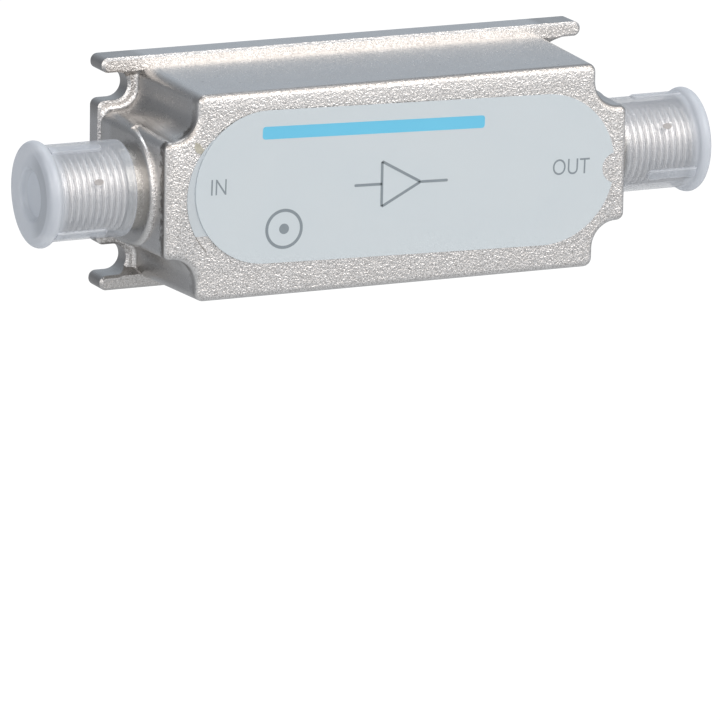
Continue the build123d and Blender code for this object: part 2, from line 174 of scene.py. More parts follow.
def mix_colour(tree, factor, first, second):
    """Mixes two colours, each a socket, a colour setting or three numbers."""
    values = {0: factor}
    for key, colour in ((6, first), (7, second)):
        is_socket = isinstance(colour, bpy.types.NodeSocket)
        values[key] = colour if is_socket else (*tuple(colour)[:3], 1.0)
    return add(tree, "ShaderNodeMix", values, data_type="RGBA").outputs[2]


def ramp(tree, value, low, high, to_low=0.0, to_high=1.0):
    node = add(tree, "ShaderNodeMapRange", {0: value, 1: low, 2: high, 3: to_low, 4: to_high})
    return node.outputs[0]


def split(tree, vector):
    return add(tree, "ShaderNodeSeparateXYZ", {0: vector}).outputs


def object_place(tree):
    return add(tree, "ShaderNodeTexCoord").outputs["Object"]


def region(tree, where, **limits):
    """A mask, 0 at the first of each measure's limits and 1 at the second, if no other shares follow."""
    parts = []
    for measure, pairs in limits.items():
        for pair in pairs if isinstance(pairs[0], tuple) else (pairs,):
            parts.append(ramp(tree, where[measure], *pair))
    return times(tree, *parts)


def lay_over(tree, colour, layers):
    """Lays colours over a first one, each where its mask says and no more than its share."""
    for mask, share, tone in layers:
        colour = mix_colour(tree, times(tree, mask, share), colour, tone)
    return colour


def new_material(name, roughness=0.5, metallic=0.0):
    material = bpy.data.materials.new(name)
    material.use_nodes = True
    shader = material.node_tree.nodes["Principled BSDF"]
    feed(shader, {"Roughness": roughness, "Metallic": metallic})
    return material, material.node_tree, shader


def bump(tree, height, distance):
    return add(tree, "ShaderNodeBump", {"Height": height, "Distance": distance}).outputs[0]


# Node groups that several finishes share

def start_group(name, inputs, outputs):
    """A new shader node group with named numbers in and out."""
    tree = bpy.data.node_groups.new(name, "ShaderNodeTree")
    for label, default in inputs.items():
        socket = tree.interface.new_socket(label, in_out="INPUT", socket_type="NodeSocketFloat")
        socket.default_value = default
    for label in outputs:
        tree.interface.new_socket(label, in_out="OUTPUT", socket_type="NodeSocketFloat")
    return tree, tree.nodes.new("NodeGroupInput").outputs, tree.nodes.new("NodeGroupOutput")


def build_grain(name):
    """Fine cast grain: a height and a tone, from 0 to 1."""
    tree, given, out = start_group(name, {"Size": 0.3 * MM}, ("Height", "Tone"))
    place = object_place(tree)
    scale = calculate(tree, "DIVIDE", 1.0, given["Size"])
    coarse = add(tree, "ShaderNodeTexNoise", {"Vector": place, "Scale": scale, "Detail": 2.0,
                                             "Roughness": 0.55}).outputs[0]
    fine = add(tree, "ShaderNodeTexNoise", {"Vector": place, "Scale": times(tree, scale, 1.9),
                                           "Detail": 1.0}).outputs[0]
    both = calculate(tree, "ADD", times(tree, coarse, 0.65), times(tree, fine, 0.35))
    feed(out, {"Height": ramp(tree, both, 0.34, 0.66), "Tone": ramp(tree, fine, 0.36, 0.64)})
    return tree


def build_cloud(name):
    """Slow blotches over a surface, from 0 to 1."""
    tree, given, out = start_group(name, {"Size": 4.0 * MM}, ("Tone",))
    scale = calculate(tree, "DIVIDE", 1.0, given["Size"])
    noise = add(tree, "ShaderNodeTexNoise", {"Vector": object_place(tree), "Scale": scale,
                                            "Detail": 3.0}).outputs[0]
    feed(out, {"Tone": ramp(tree, noise, 0.32, 0.68)})
    return tree


def build_specks(name):
    """Sparse dark specks, 1 on a speck and 0 elsewhere."""
    tree, given, out = start_group(name, {"Size": 2.0 * MM, "Share": 0.12}, ("Mask",))
    scale = calculate(tree, "DIVIDE", 1.0, given["Size"])
    cells = add(tree, "ShaderNodeTexVoronoi", {"Vector": object_place(tree), "Scale": scale})
    near = calculate(tree, "SUBTRACT", given["Share"], cells.outputs["Distance"])
    feed(out, {"Mask": ramp(tree, near, 0.0, 0.05)})
    return tree


def build_place(name):
    """Where a point lies in millimetres: reach and height from the middle, radius from the ports' axis."""
    tree, _, out = start_group(name, {}, ("depth", "up", "reach", "height", "aside", "radius"))
    scaled = add(tree, "ShaderNodeVectorMath", {0: object_place(tree), "Scale": 1 / MM}, operation="SCALE")
    place = split(tree, scaled.outputs[0])
    aside = calculate(tree, "SUBTRACT", place["Y"], AXIS_Y / MM)
    square = calculate(tree, "ADD", times(tree, aside, aside), times(tree, place["Z"], place["Z"]))
    feed(out, {
        "depth": place["Y"],
        "up": place["Z"],
        "reach": calculate(tree, "ABSOLUTE", place["X"]),
        "height": calculate(tree, "ABSOLUTE", place["Z"]),
        "aside": aside,
        "radius": calculate(tree, "SQRT", square),
    })
    return tree


GROUPS = {"cast grain": build_grain, "cloud": build_cloud, "specks": build_specks, "place": build_place}


def use_group(tree, name, **values):
    """Places a shared node group, which is built the first time, and gives its outputs."""
    group = bpy.data.node_groups.get(name) or GROUPS[name](name)
    return add(tree, "ShaderNodeGroup", values, node_tree=group).outputs


# Finishes, whose regions have limits in millimetres or in parts of a normal

# Where a surface starts to face forwards, and where it fully does
FRONT_FACING = (-0.4, -0.95)
# Where the scoops start along the case, and where their painted shade is full
SCOOP_REACH = (24.3, 25.3)


def casting_material():
    """Plated casting: grainy where it faces forwards, smoother on its drafted sides."""
    casting = bpy.context.scene.amplifier_casting
    material, tree, shader = new_material("plated casting", metallic=1.0)
    face = split(tree, add(tree, "ShaderNodeNewGeometry").outputs["Normal"])
    where = dict(use_group(tree, "place").items()) | {"face_y": face["Y"], "face_z": face["Z"]}
    grain = use_group(tree, "cast grain", Size=casting.grain)
    cloud = use_group(tree, "cloud", Size=3.2 * MM)["Tone"]
    specks = use_group(tree, "specks", Size=2.3 * MM, Share=0.075)["Mask"]
    grainy = ramp(tree, calculate(tree, "ABSOLUTE", face["Y"]), 0.45, 0.9, 0.22, 1.0)

    # Painted highlight: a brighter, less pitted strip along the top of the front
    highlight_strip = region(tree, where, face_y=FRONT_FACING, up=(9.7, 11.3), depth=(-16.0, -17.0))
    pits = times(tree, calculate(tree, "SUBTRACT", 1.0, grain["Tone"]), grainy,
                 ramp(tree, highlight_strip, 0.0, 1.0, 1.0, 0.6))
    # Painted shade on the front of the flange, above and below the case, much darker on the lower one
    rail_shade = region(tree, where, depth=(-3.9, -3.4), height=(11.4, 12.2), face_y=(-0.2, -0.8))
    rail_shade_tone = mix_colour(tree, region(tree, where, up=(-1.0, 1.0)), (0.40, 0.385, 0.37),
                           (0.64, 0.61, 0.585))
    # Painted shade in the scoops, more on faces turned from the front and further back
    scoop_shade = region(tree, where, reach=SCOOP_REACH, height=(6.0, 7.4), face_y=(-0.75, -0.3),
                   depth=(-18.0, -15.0, 0.4, 1.0))
    scoop_shade_tone = mix_colour(tree, cloud, (0.36, 0.345, 0.33), (0.47, 0.455, 0.44))
    # Painted shade on the rounded edge over the front, which tones down its shine
    edge = region(tree, where, face_z=(0.15, 0.45), face_y=(-0.12, -0.4), depth=(-16.5, -17.0))
    # Neck of each port and the boss round it, duller and less pitted than the front
    boss = region(tree, where, reach=(29.0, 29.6), radius=(4.45, 4.6), depth=(-4.5, -5.5))
    # Painted shade on the turned-down part of each barrel, between the turns of the thread
    neck_end = casting.neck_end / MM
    foot = region(tree, where, reach=(neck_end + 0.02, neck_end + 0.04),
                  radius=((4.1, 4.2), (4.45, 4.40)))

    plain = mix_colour(tree, region(tree, where, face_y=FRONT_FACING), casting.metal, casting.front)
    colour = lay_over(tree, plain, (
        (highlight_strip, 0.6, (0.98, 0.945, 0.92)),
        (pits, 1.0, casting.shade),
        (cloud, 0.22, (0.60, 0.57, 0.54)),
        (specks, 0.6, (0.12, 0.10, 0.085)),
        (rail_shade, 0.62, rail_shade_tone),
        (scoop_shade, 0.8, scoop_shade_tone),
        (dark_band_mask(tree, where), 1.0, (0.11, 0.095, 0.08)),
        (edge, 0.85, (0.37, 0.345, 0.325)),
        (boss, 0.55, (0.45, 0.435, 0.41)),
        (foot, 1.0, (0.62, 0.60, 0.59)),
    ))
    height = times(tree, grain["Height"], grainy, ramp(tree, boss, 0.0, 1.0, 1.0, 0.25))
    feed(shader, {"Base Color": colour, "Roughness": ramp(tree, grain["Height"], 0.0, 1.0, 0.40, 0.26),
                  "Normal": bump(tree, height, casting.relief)})
    return material


def dark_band_mask(tree, where):
    """A ragged dark band just behind the edge of the front, fainter on the port walls."""
    spots = use_group(tree, "cloud", Size=0.7 * MM)["Tone"]
    behind = calculate(tree, "ADD", where["depth"], ramp(tree, where["reach"], 28.4, 28.8, 0.0, 0.5))
    ragged = calculate(tree, "ADD", behind, times(tree, spots, 0.9))
    where = where | {"behind": behind, "ragged": ragged}
    mask = region(tree, where, ragged=(-16.2, -16.8), behind=(-18.0, -17.7), face_y=(-0.93, -0.75),
                  reach=SCOOP_REACH, face_z=(0.97, 0.9))
    return times(tree, mask, ramp(tree, where["reach"], 28.7, 29.2, 0.75, 0.45))


def thread_material():
    """The plated thread, with painted shade at its roots that leaves its crests brighter."""
    root = bpy.context.scene.amplifier_thread.root / MM
    material, tree, shader = new_material("plated thread", metallic=1.0)
    grain = use_group(tree, "cast grain", Size=0.2 * MM)
    cloud = use_group(tree, "cloud", Size=2.0 * MM)["Tone"]
    # Painted shade at the foot of the thread, between its turns
    foot = region(tree, use_group(tree, "place"), radius=(root + 0.30, root + 0.06))
    crest = mix_colour(tree, cloud, (0.93, 0.905, 0.89), (0.85, 0.815, 0.79))
    feed(shader, {"Base Color": mix_colour(tree, foot, crest, (0.66, 0.64, 0.63)),
                  "Roughness": ramp(tree, grain["Tone"], 0.0, 1.0, 0.36, 0.50),
                  "Normal": bump(tree, grain["Height"], 0.012 * MM)})
    return material


def cap_material(name, pale_share=0.0, denser=0.0):
    """Milky plastic that lets the thread behind it show: clearer on the sleeve, dense at the end."""
    cap = bpy.context.scene.amplifier_cap
    material, tree, shader = new_material(name, roughness=0.30)
    where = use_group(tree, "place")
    cloud = use_group(tree, "cloud", Size=2.6 * MM)["Tone"]
    thick = region(tree, where, reach=(38.6, 39.9))
    dish = region(tree, where, radius=(3.0, 2.5))
    # Shade between the end wall and the end of the port, on the side that faces forwards
    ring = region(tree, where, radius=((2.7, 3.1), (4.95, 4.75)), aside=(-0.2, -2.4))
    shade = times(tree, calculate(tree, "MAXIMUM", ring, times(tree, dish, 0.6)),
                  region(tree, where, reach=(39.8, 40.1)))
    # Painted light on the dish's inner wall, which lifts the shade that falls there
    dish_wall_painted_light = region(tree, where, radius=((2.5, 2.65), (3.05, 2.95)), aside=(-0.5, 0.5),
                       reach=(40.2, 40.3))
    milk = tuple(min(1.0, 1.15 * part) for part in cap.plastic[:3])
    colour = lay_over(tree, mix_colour(tree, times(tree, cloud, 0.35), cap.plastic, milk), (
        (thick, 0.8, (0.71, 0.755, 0.83)),
        (shade, 1.0, (0.55, 0.59, 0.65)),
        (dish_wall_painted_light, 1.0, (0.72, 0.765, 0.83)),
    ))
    if pale_share:
        colour = mix_colour(tree, pale_share, colour, (0.80, 0.82, 0.86))

    sleeve = cap.body_alpha + denser
    hide = ramp(tree, thick, 0.0, 1.0, sleeve, cap.end_alpha + denser / 3)
    # The rear half hides more, so that the port shows through the front wall alone
    rear = calculate(tree, "ADD", times(tree, region(tree, where, aside=(-0.6, 1.4)), 0.24), sleeve)
    hide = calculate(tree, "MAXIMUM", hide, rear, times(tree, dish, thick))
    # The inner wall hides little, because the outer one stands for both
    inside = region(tree, where, radius=((5.0, 4.92), (3.6, 3.9)), reach=(40.47, 40.43))
    feed(shader, {"Base Color": colour, "Normal": bump(tree, cloud, 0.02 * MM),
                  "Alpha": times(tree, hide, ramp(tree, inside, 0.0, 1.0, 1.0, 0.12))})
    return material


def film_material(name, colour, tint):
    """Matt printed film with a faint mottle."""
    material, tree, shader = new_material(name, roughness=0.55)
    cloud = use_group(tree, "cloud", Size=7.0 * MM)["Tone"]
    grain = use_group(tree, "cast grain", Size=0.12 * MM)
    feed(shader, {"Base Color": mix_colour(tree, times(tree, cloud, 0.35), colour, tint),
                  "Roughness": ramp(tree, grain["Tone"], 0.0, 1.0, 0.5, 0.6),
                  "Normal": bump(tree, grain["Height"], 0.003 * MM)})
    return material


# Two colours, millimetres across a blotch, roughness, share of metal and millimetres of relief
PLAIN_FINISHES = {
    "gate mark plastic": ((0.35, 0.33, 0.325), (0.42, 0.40, 0.395), 0.4, 0.4, 0.0, 0.01),
    "old glue": ((0.20, 0.185, 0.17), (0.34, 0.32, 0.30), 0.5, 0.6, 0.0, 0.01),
    "glue smear": ((0.44, 0.42, 0.35), (0.56, 0.53, 0.45), 0.6, 0.5, 0.0, 0.02),
    "insert plastic": ((0.72, 0.69, 0.60), (0.80, 0.77, 0.70), 1.5, 0.42, 0.0, 0.02),
    "tinned bronze": ((0.62, 0.53, 0.36), (0.70, 0.62, 0.46), 0.8, 0.28, 1.0, 0.0),
    "rolled sheet": ((0.60, 0.60, 0.59), (0.70, 0.70, 0.69), 5.0, 0.36, 1.0, 0.004),
    "absorber foam": ((0.012, 0.012, 0.013), (0.03, 0.03, 0.032), 0.4, 0.9, 0.0, 0.2),
    "laminate": ((0.01, 0.09, 0.03), (0.02, 0.13, 0.05), 2.0, 0.35, 0.0, 0.02),
    "zinc plate": ((0.55, 0.55, 0.57), (0.66, 0.66, 0.68), 0.7, 0.3, 1.0, 0.0),
    "solder": ((0.60, 0.61, 0.62), (0.74, 0.75, 0.76), 0.5, 0.22, 1.0, 0.03),
    "fired ceramic": ((0.36, 0.24, 0.13), (0.42, 0.29, 0.17), 0.4, 0.45, 0.0, 0.01),
    "pale ceramic": ((0.45, 0.34, 0.22), (0.52, 0.40, 0.27), 0.4, 0.45, 0.0, 0.01),
    "glazed ceramic": ((0.014, 0.014, 0.016), (0.03, 0.03, 0.034), 0.4, 0.25, 0.0, 0.005),
    "drawn can": ((0.62, 0.62, 0.63), (0.72, 0.72, 0.73), 1.2, 0.26, 1.0, 0.0),
    "moulded resin": ((0.012, 0.012, 0.014), (0.022, 0.022, 0.025), 0.5, 0.5, 0.0, 0.01),
    "ferrite": ((0.02, 0.02, 0.022), (0.045, 0.045, 0.05), 0.4, 0.55, 0.0, 0.02),
}


def plain_material(name):
    """A plain finish: two near colours in blotches, and some relief where the table gives it."""
    colour, other, size, roughness, metallic, relief = PLAIN_FINISHES[name]
    material, tree, shader = new_material(name, roughness, metallic)
    cloud = use_group(tree, "cloud", Size=size * MM)["Tone"]
    spread = 0.06
    feed(shader, {"Base Color": mix_colour(tree, cloud, colour, other),
                  "Roughness": ramp(tree, cloud, 0.0, 1.0, roughness - spread, roughness + spread)})
    if relief:
        feed(shader, {"Normal": bump(tree, cloud, relief * MM)})
    return material


def wound_material(name, wire, gap, axis, pitch):
    """Wound wire: bright turns with dark gaps along one axis, a pitch apart in millimetres."""
    material, tree, shader = new_material(name, roughness=0.3, metallic=1.0)
    along = split(tree, object_place(tree))[axis]
    wave = calculate(tree, "SINE", times(tree, along, 2 * math.pi / (pitch * MM)))
    turns = ramp(tree, wave, -1.0, 0.2)
    feed(shader, {"Base Color": mix_colour(tree, turns, gap, wire), "Normal": bump(tree, turns, 0.1 * MM)})
    return material


# Modelling helpers

def only(obj):
    """Selects one object alone and makes it active, in object mode."""
    if bpy.context.object and bpy.context.object.mode != "OBJECT":
        bpy.ops.object.mode_set(mode="OBJECT")
    bpy.ops.object.select_all(action="DESELECT")
    obj.select_set(True)
    bpy.context.view_layer.objects.active = obj


def select_mesh():
    bpy.ops.mesh.select_all(action="SELECT")


@contextmanager
def editing(obj):
    """Edit mode on one object alone, with its whole mesh selected."""
    only(obj)
    bpy.ops.object.mode_set(mode="EDIT")
    select_mesh()
    yield
    bpy.ops.object.mode_set(mode="OBJECT")


def pick(kind, test):
    """In edit mode, selects the verts, edges or faces whose middle passes the test."""
    mesh = bpy.context.object.data
    bpy.ops.mesh.select_mode(type={"verts": "VERT", "edges": "EDGE", "faces": "FACE"}[kind])
    bpy.ops.mesh.select_all(action="DESELECT")
    work = bmesh.from_edit_mesh(mesh)
    for item in getattr(work, kind):
        if kind == "verts":
            middle = item.co
        else:
            middle = sum((v.co for v in item.verts), Vector()) / len(item.verts)
        if test(middle, item):
            item.select_set(True)
    work.select_flush_mode()
    bmesh.update_edit_mesh(mesh)


def face_outwards():
    """In edit mode, turns all faces of a closed mesh outwards."""
    select_mesh()
    bpy.ops.mesh.normals_make_consistent(inside=False)


def axis_distance(point):
    return math.hypot(point.y - AXIS_Y, point.z)


def draw_in(obj, limit):
    """In edit mode, brings each selected corner to its limit from the ports' axis, if it is further."""
    work = bmesh.from_edit_mesh(obj.data)
    for vertex in work.verts:
        share = limit(vertex.co) / max(axis_distance(vertex.co), MERGE)
        if vertex.select and share < 1.0:
            vertex.co.y = AXIS_Y + (vertex.co.y - AXIS_Y) * share
            vertex.co.z *= share
    bmesh.update_edit_mesh(obj.data)


def settle(obj):
    """Puts the object's place into its mesh."""
    only(obj)
    bpy.ops.object.transform_apply(location=True, rotation=True, scale=True)


def smooth(obj, degrees):
    only(obj)
    bpy.ops.object.shade_smooth_by_angle(angle=math.radians(degrees))


def paint(obj, *materials):
    obj.data.materials.clear()
    for material in materials:
        obj.data.materials.append(material)


def paint_nodes(material, *nodes):
    for node in nodes:
        paint(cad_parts[node], material)


def start_from(operator, name, location=(0, 0, 0), **settings):
    """Adds a primitive alone in the selection and names it and its mesh."""
    bpy.ops.object.select_all(action="DESELECT")
    operator(location=location, **settings)
    obj = bpy.context.object
    obj.name = obj.data.name = name
    return obj


def copy_mesh(name, source):
    """A new object with its own copy of a mesh, in the scene."""
    obj = bpy.data.objects.new(name, source.data.copy())
    bpy.context.scene.collection.objects.link(obj)
    return obj


def dress(node, material):
    """A copy of a CAD piece with its corners joined and its curves shaded smooth."""
    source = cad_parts[node]
    piece = copy_mesh(node + "_finish", source)
    piece.data.transform(source.matrix_world)
    with editing(piece):
        bpy.ops.mesh.customdata_custom_splitnormals_clear()
        bpy.ops.mesh.remove_doubles(threshold=MERGE)
    smooth(piece, 35.0)
    paint(piece, material)
    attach(piece, BODY)
    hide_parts(node)
    return piece


def spin_profile(name, points, steps, side):
    """Spins an open line of (along, radius) points round a port's axis. Points on the axis close it."""
    obj = start_from(bpy.ops.mesh.primitive_circle_add, name, vertices=len(points), radius=MM)
    for vertex, (along, radius) in zip(obj.data.vertices, points):
        vertex.co = (side * along, AXIS_Y - radius, 0.0)
    ends = {0, len(points) - 1}
    with editing(obj):
        pick("edges", lambda middle, edge: {v.index for v in edge.verts} == ends)
        bpy.ops.mesh.delete(type="EDGE")
        select_mesh()
        bpy.ops.mesh.spin(steps=steps, angle=2 * math.pi, center=(0, AXIS_Y, 0), axis=(1, 0, 0))
        select_mesh()
        bpy.ops.mesh.remove_doubles(threshold=MERGE)
        face_outwards()
    return obj


# Casting and threads

class AMPLIFIER_OT_housing(bpy.types.Operator):
    """Dresses the casting and turns its barrels down to the foot of the thread"""
    bl_idname = "amplifier.housing"
    bl_label = "Casting"

    def execute(self, context):
        casting, thread = context.scene.amplifier_casting, context.scene.amplifier_thread
        shoulder = 0.03 * MM
        beyond_bore = thread.crest - 2 * thread.chamfer
        piece = dress("housing", casting_material())

        def on_thread(middle, item):
            return abs(middle.x) > casting.neck_end + shoulder / 2 and axis_distance(middle) > beyond_bore

        with editing(piece):
            for side in ENDS.values():
                for step in (0.0, shoulder):
                    select_mesh()
                    bpy.ops.mesh.bisect(plane_co=(side * (casting.neck_end + step), 0, 0),
                                        plane_no=(1, 0, 0), threshold=MERGE)
            pick("verts", on_thread)
            draw_in(piece, lambda place: thread.root)
        smooth(piece, 35.0)
        return {"FINISHED"}


class AMPLIFIER_OT_threads(bpy.types.Operator):
    """Winds a thread round each port"""
    bl_idname = "amplifier.threads"
    bl_label = "Port threads"

    def execute(self, context):
        casting, thread = context.scene.amplifier_casting, context.scene.amplifier_thread
        material = thread_material()
        for name, side in ENDS.items():
            piece = self.wind(name + "_thread", side, casting.neck_end, thread)
            self.trim(piece, side, casting.neck_end, thread)
            smooth(piece, 40.0)
            paint(piece, material)
            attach(piece, BODY)
        return {"FINISHED"}

    def wind(self, name, side, neck_end, thread):
        """Screws the thread's section along the port, a turn past each of its ends."""
        foot = thread.root - 0.06 * MM
        crest_half = thread.crest_flat / 2
        foot_half = crest_half + (thread.crest - foot) * math.tan(thread.flank)
        section = [(-foot_half, foot), (-crest_half, thread.crest),
                   (crest_half, thread.crest), (foot_half, foot)]
        piece = start_from(bpy.ops.mesh.primitive_circle_add, name, vertices=len(section), radius=MM)
        for vertex, (along, radius) in zip(piece.data.vertices, section):
            vertex.co = (along, -radius, 0.0)
        first = neck_end if side > 0 else -thread.end
        piece.location = (first - thread.pitch, AXIS_Y, 0)
        screw = piece.modifiers.new("Thread", "SCREW")
        screw.axis, screw.angle = "X", 2 * math.pi
        screw.screw_offset = thread.pitch
        screw.iterations = math.ceil((thread.end - neck_end) / thread.pitch) + 2
        screw.steps = screw.render_steps = thread.steps
        screw.use_merge_vertices, screw.merge_threshold = True, MERGE
        only(piece)
        bpy.ops.object.modifier_apply(modifier=screw.name)
        settle(piece)
        return piece

    def trim(self, piece, side, neck_end, thread):
        """Cuts the thread off flat at the neck and at the port's end, and chamfers it there."""
        chamfer_start = thread.end - 1.3 * thread.chamfer
        few_corners = 8
        with editing(piece):
            for plane, facing in ((neck_end, -side), (thread.end - 0.1 * MM, side)):
                select_mesh()
                bpy.ops.mesh.bisect(plane_co=(side * plane, 0, 0), plane_no=(facing, 0, 0),
                                    clear_outer=True, use_fill=True, threshold=MERGE)
            # The cut faces are C-shaped, so they are divided before they are drawn in
            pick("faces", lambda middle, face: len(face.verts) > few_corners)
            bpy.ops.mesh.quads_convert_to_tris(quad_method="BEAUTY", ngon_method="BEAUTY")
            face_outwards()
            draw_in(piece, lambda place: thread.crest - max(0.0, abs(place.x) - chamfer_start))


# Dust caps

RIB_COUNT = 3
# Angles are in degrees from the front of a port towards its top
FIRST_RIB = {"input": 72.0, "output": -30.0}
# Share of a rib's width that rounds each side of its free end, and the rounding along its top
RIB_END_SHARE = 0.46
RIB_ROUNDING = 0.14 * MM
# Reach in millimetres and angle of each gate mark, then half length, thickness and half width
GATE_MARK = {"input": (35.0, 22.0), "output": (35.9, 31.5)}
GATE_SIZE = (0.58, 0.07, 0.34)
# Half the width of the rolled lip
LIP_HALF = 0.80 * MM
# How deep a rib and the rolled lip start in the sleeve
ROOT_DEPTH = 0.12 * MM


def cap_outline(sizes):
    """The cap's section as (along, radius) points, from the middle of its inside to that of its outside."""
    def from_end(points):
        return [(sizes.end - back * MM, radius * MM) for back, radius in points]

    bore, outside = sizes.bore / MM, sizes.outside / MM
    points = from_end([(1.6, 0.0), (1.6, 3.2), (1.5, 3.38), (0.75, 3.42), (0.7, 3.55), (0.7, bore - 0.35),
                       (0.78, bore - 0.12), (0.95, bore - 0.03), (1.3, bore)])
    points += [(sizes.mouth + on * MM, radius * MM) for on, radius in
               ((0.3, bore), (0.12, bore + 0.1), (0.0, bore + 0.28), (0.04, outside - 0.1), (0.15, outside))]
    points += from_end([(1.88, outside), (1.68, outside + 0.05)])
    lip_foot = sizes.outside - ROOT_DEPTH
    steps = 12
    for step in range(steps + 1):
        angle = math.radians(158) * (1 - step / steps)
        points.append((sizes.end - LIP_HALF + LIP_HALF * math.cos(angle),
                       lip_foot + (sizes.lip - lip_foot) * math.sin(angle)))
    return points + from_end([(0.0, 4.9), (0.0, 3.3), (0.03, 3.08), (0.14, 2.94), (0.4, 2.84), (0.62, 2.74),
                              (0.76, 2.58), (0.8, 2.35), (0.8, 0.0)])


def turn_round_port(obj, degrees):
    """Turns a piece built at the front of a port to its angle round the port's axis."""
    obj.matrix_world = Matrix.Translation((0, AXIS_Y, 0)) @ Matrix.Rotation(-math.radians(degrees), 4, "X")
    settle(obj)


class AMPLIFIER_OT_caps(bpy.types.Operator):
    """Spins the two dust caps, raises their ribs and sets their gate marks"""
    bl_idname = "amplifier.caps"
    bl_label = "Dust caps"

    def execute(self, context):
        sizes = context.scene.amplifier_cap
        plastic = cap_material("milky plastic")
        rib_edge = cap_material("rib plastic", 0.45, 0.12)
        mark = plain_material("gate mark plastic")
        for name, side in ENDS.items():
            cap = spin_profile(name + "_cap_spun", cap_outline(sizes), sizes.divisions, side)
            smooth(cap, 38.0)
            paint(cap, plastic)
            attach(cap, CAP_BODY[name])
            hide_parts(name + "_cap")
            rib = self.rib(sizes, side, plastic, rib_edge)
            for count in range(RIB_COUNT):
                bar = copy_mesh("%s_rib_%d" % (name, count + 1), rib)
                turn_round_port(bar, FIRST_RIB[name] + 360 / RIB_COUNT * count)
                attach(bar, CAP_BODY[name])
            bpy.data.objects.remove(rib)
            self.gate(sizes, name, side, mark)
        return {"FINISHED"}

    def rib(self, sizes, side, plastic, rib_edge):
        """A low bar along a sleeve's front up to its lip, with a round free end and paler sides."""
        stop = sizes.end - 1.6 * MM
        start = stop - sizes.rib_length
        low, high = sizes.outside - ROOT_DEPTH, sizes.outside + sizes.rib_height
        near, skin = 1e-6, 0.004 * MM
        bar = start_from(bpy.ops.mesh.primitive_cube_add, "rib", size=1.0)
        bar.scale = (stop - start, high - low, sizes.rib_width)
        bar.location = (side * (start + stop) / 2, -(low + high) / 2, 0)
        settle(bar)

        def at_free_end(middle, edge):
            a, b = edge.verts
            return abs(middle.x - side * start) < near and abs(a.co.z - b.co.z) < near

        def on_top(middle, edge):
            return all(abs(v.co.y + high) < near for v in edge.verts)

        with editing(bar):
            pick("edges", at_free_end)
            bpy.ops.mesh.bevel(offset=RIB_END_SHARE * sizes.rib_width, segments=7, affect="EDGES")
            pick("edges", on_top)
            bpy.ops.mesh.bevel(offset=RIB_ROUNDING, segments=2, affect="EDGES")
        smooth(bar, 30.0)
        paint(bar, plastic, rib_edge)
        for face in bar.data.polygons:
            is_side = min(abs(face.center.y + high), abs(face.center.y + low)) > skin
            face.material_index = int(is_side)
        return bar

    def gate(self, sizes, name, side, mark):
        """The small oval mark that the mould's gate left on the sleeve."""
        reach, degrees = GATE_MARK[name]
        disc = start_from(bpy.ops.mesh.primitive_cylinder_add, name + "_gate_mark", vertices=32,
                          radius=1.0, depth=1.0, rotation=(math.radians(90), 0, 0))
        settle(disc)
        disc.scale = [size * MM for size in GATE_SIZE]
        disc.location = (side * reach * MM, -(sizes.outside - 0.01 * MM), 0)
        settle(disc)
        turn_round_port(disc, degrees)
        smooth(disc, 40.0)
        paint(disc, mark)
        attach(disc, CAP_BODY[name])


# Label, on which places are X and Z in millimetres

# Text, middle and squeeze of each legend
LEGENDS = {"in_legend": ("IN", (-22.25, 1.2), 0.80), "out_legend": ("OUT", (21.45, 0.1), 0.84)}
# Height of the font's capital letters as a share of its size
CAPITAL_SHARE = 0.70
# Ends of the stripe
STRIPE = ((-16.97, 7.05), (10.49, 6.28))
STRIPE_WIDTH = 1.45
STRIPE_CORNER = 0.35
# Amplifier symbol: a triangle between two leads, turned with the label round its middle
SYMBOL_MIDDLE = 0.95
SYMBOL_STROKES = {
    "symbol_back": ((-2.2, 2.6), (-2.2, -2.6)),
    "symbol_top": ((-2.2, 2.6), (2.6, 0.0)),
    "symbol_foot": ((-2.2, -2.6), (2.6, 0.0)),
    "symbol_lead_in": ((-5.6, 0.0), (-2.2, 0.0)),
    "symbol_lead_out": ((2.6, 0.0), (6.0, 0.0)),
}
SYMBOL_CORNER = 0.14
# Coaxial symbol: a ring round a dot, each with its outer and inner radius
COAX_MIDDLE = (-14.2, -4.1)
COAX_RADII = {"coax_ring": (2.3, 1.95), "coax_dot": (0.6, 0.0)}
# Edge of the old glue: an arc between two radii and two angles in degrees
GLUE_MIDDLE = (-17.25, 0.0)
GLUE_RADII = (8.79, 8.68)
GLUE_ANGLES = (209, 224)
SMEAR_MIDDLE = (-24.5, 5.75)
SMEAR_HALF_SIZE = (0.95, 0.42)
SMEAR_TILT = math.radians(-46)


def arc(middle, radius, start, stop, steps):
    """Points in X and Z on an arc round a middle, between two angles in degrees."""
    points = []
    for step in range(steps + 1):
        angle = math.radians(start + (stop - start) * step / steps)
        points.append((middle[0] + radius * math.cos(angle), middle[1] + radius * math.sin(angle)))
    return points


def stroke_outline(start, stop, width, corner):
    """The outline of a straight stroke between two points, with rounded corners."""
    start, stop = Vector(start), Vector(stop)
    along = (stop - start).normalized()
    across = Vector((-along.y, along.x))
    near, far = start + along * corner, stop - along * corner
    half = across * (width / 2 - corner)
    outline = []
    for middle, first in ((far + half, 90), (far - half, 0), (near - half, -90), (near + half, -180)):
        for x, z in arc((0, 0), corner, first, first - 90, 6):
            outline.append(tuple(middle + along * x + across * z))
    return outline


def smear_outline():
    """The uneven outline of a smear of glue, tilted along the label's edge."""
    steps = 28
    half_length, half_width = SMEAR_HALF_SIZE
    outline = []
    for step in range(steps):
        angle = 2 * math.pi * step / steps
        reach = 1.0 + 0.16 * math.sin(3 * angle + 0.6) + 0.08 * math.sin(7 * angle)
        point = reach * Vector((half_length * math.cos(angle), half_width * math.sin(angle)))
        outline.append(tuple(Vector(SMEAR_MIDDLE) + Matrix.Rotation(SMEAR_TILT, 2) @ point))
    return outline


def finish_print(obj, material):
    """Makes a drawing a finished piece of print."""
    settle(obj)
    with editing(obj):
        bpy.ops.mesh.remove_doubles(threshold=MERGE)
    paint(obj, material)
    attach(obj, BODY)


